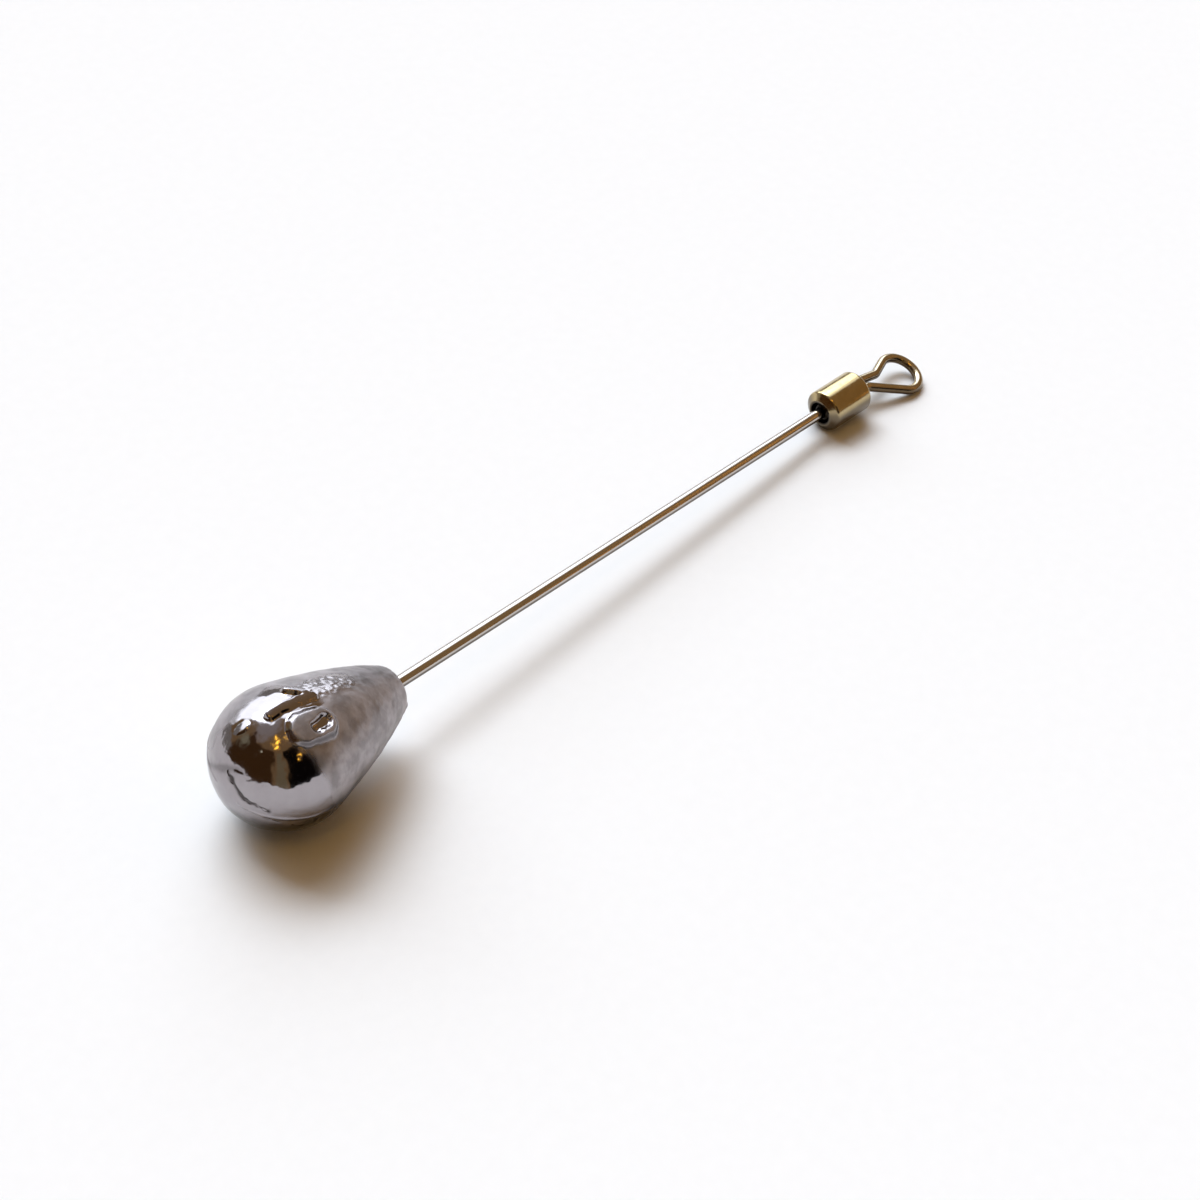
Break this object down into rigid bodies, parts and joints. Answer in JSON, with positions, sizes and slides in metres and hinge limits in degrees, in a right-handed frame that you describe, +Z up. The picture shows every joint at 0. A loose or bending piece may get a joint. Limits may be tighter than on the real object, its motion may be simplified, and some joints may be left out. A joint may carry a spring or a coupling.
{
  "type": "fishing sinker",
  "caption": "Pear-shaped cast lead fishing sinker on a long straight wire stem, with a barrel swivel and a teardrop wire eye for tying the line.",
  "frame": {"origin": "middle of the base of the whole sinker as it lies on a flat surface, on the bulge of the lead, the rim of the barrel and the edge of the eye", "axes": "+X along the length, from the lead towards the eye; +Z up, away from the surface it lies on; +Y to the left when looking from the lead to the eye"},
  "size_m": [0.0818, 0.0106, 0.011],
  "materials": {
    "lead": "bright as-cast lead, mirror-like on the belly, duller and finely lumpy towards the nose",
    "steel_wire": "bright drawn steel wire",
    "plated_barrel": "bright nickel-plated brass with a warm tone",
    "plated_wire": "bright nickel-plated brass wire"
  },
  "bodies": {
    "weight": {"lead_weight": "lead", "stem_wire": "steel_wire"},
    "barrel": {"swivel_barrel": "plated_barrel"},
    "eye": {"eye_wire": "plated_wire"}
  },
  "joints": [
    {"name": "barrel_spin", "type": "hinge", "parent": "weight", "child": "barrel", "pos_m": [0.02893, 0, 0.00191], "axis": [0.9962, -0.0697, 0.0523], "continuous": true},
    {"name": "eye_spin", "type": "hinge", "parent": "barrel", "child": "eye", "pos_m": [0.03166, -0.00019, 0.00205], "axis": [0.9854, -0.0862, -0.1468], "continuous": true}
  ]
}
